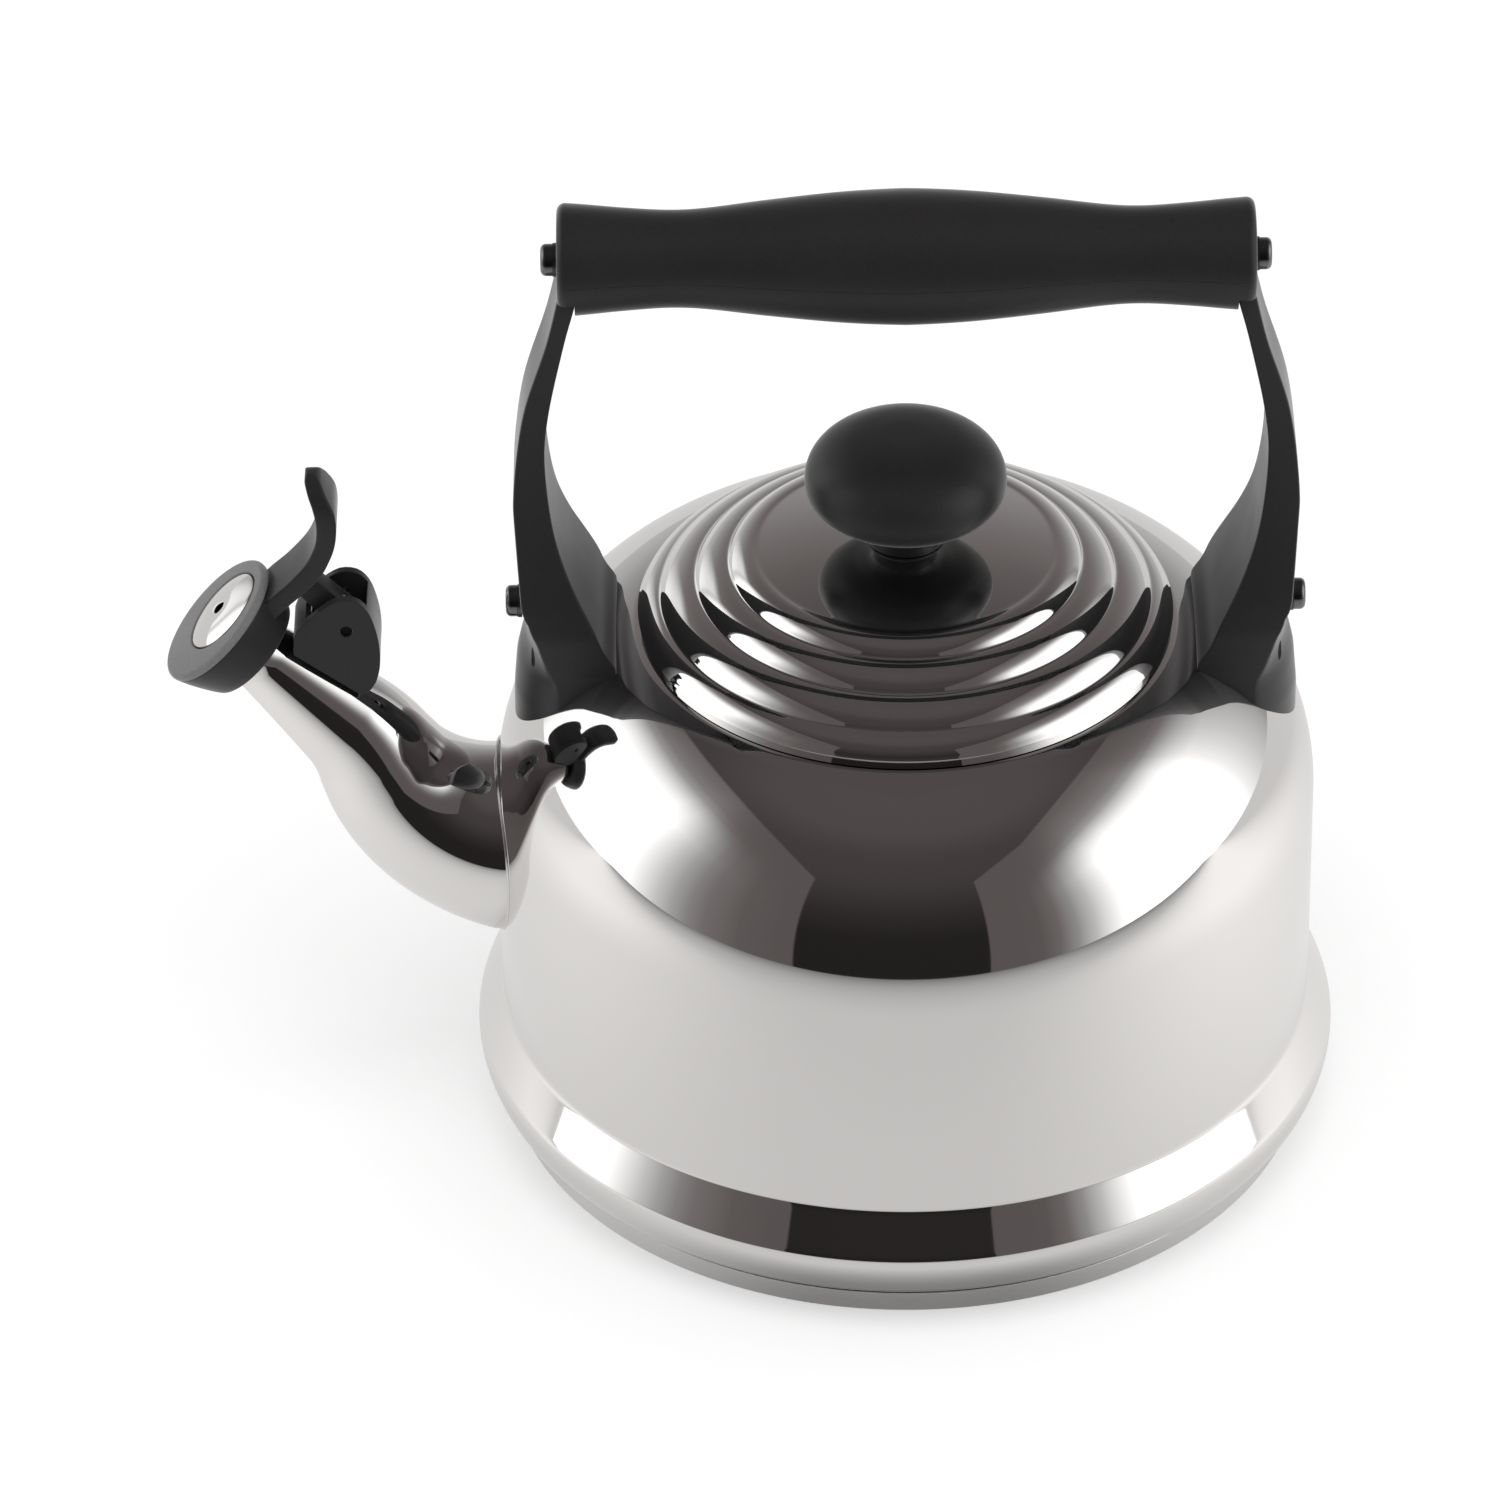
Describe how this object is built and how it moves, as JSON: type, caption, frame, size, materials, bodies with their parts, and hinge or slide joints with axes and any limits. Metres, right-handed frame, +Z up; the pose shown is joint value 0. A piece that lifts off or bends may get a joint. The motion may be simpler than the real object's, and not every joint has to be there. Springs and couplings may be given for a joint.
{
  "type": "stovetop whistling kettle",
  "caption": "Polished steel stovetop kettle with a flared base, ribbed lift-off lid, black fixed handle on side brackets and a hinged, sprung whistle cap on its curved spout.",
  "frame": {"origin": "centre of the flat underside of the base, where the kettle stands", "axes": "+Z up along the body's axis; spout and front bracket towards -X, rear bracket towards +X; the handle runs along X"},
  "size_m": [0.2826, 0.21, 0.2534],
  "materials": {
    "polished_steel": "mirror-polished stainless steel",
    "satin_steel": "satin stainless steel, turned finish",
    "core_aluminium": "plain aluminium disc, hidden inside the base",
    "plain_steel": "plain stainless steel",
    "spring_steel": "bright drawn spring wire",
    "black_phenolic": "moulded black phenolic resin with a soft sheen",
    "screw_steel": "zinc-plated pan-head screws",
    "washer_steel": "dark lock washers",
    "insert_brass": "plain brass inserts",
    "seal_rubber": "soft silicone ring"
  },
  "bodies": {
    "kettle": {"body_shell": "polished_steel", "base_core": "core_aluminium", "base_cap": "satin_steel", "spout_tube": "polished_steel", "hinge_saddle": "plain_steel", "hinge_block": "black_phenolic", "block_rivet": "plain_steel", "hinge_pin": "plain_steel", "return_spring": "spring_steel", "front_lug": "plain_steel", "rear_lug": "plain_steel", "front_bracket": "black_phenolic", "rear_bracket": "black_phenolic", "foot_screws": "screw_steel", "foot_washers": "washer_steel", "handle_grip": "black_phenolic", "grip_inserts": "insert_brass", "grip_screws": "screw_steel", "grip_washers": "washer_steel"},
    "lid": {"lid_shell": "polished_steel", "lid_skirt": "polished_steel", "lid_knob": "black_phenolic", "knob_insert": "insert_brass", "knob_screw": "plain_steel", "knob_washer": "plain_steel"},
    "whistle": {"whistle_cap": "black_phenolic", "whistle_bezel": "black_phenolic", "whistle_front_plate": "polished_steel", "whistle_rear_plate": "polished_steel", "whistle_seal": "seal_rubber"}
  },
  "joints": [
    {"name": "lid_lift", "type": "slide", "parent": "kettle", "child": "lid", "axis": [0, 0, 1], "range_m": [0, 0.03]},
    {"name": "whistle_flip", "type": "hinge", "parent": "kettle", "child": "whistle", "pos_m": [-0.13401, 0, 0.13681], "axis": [0, 1, 0], "range_deg": [0, 45], "stiffness_Nm_per_rad": 0.05, "springref_deg": -28.65, "deforming": ["return_spring"]}
  ]
}
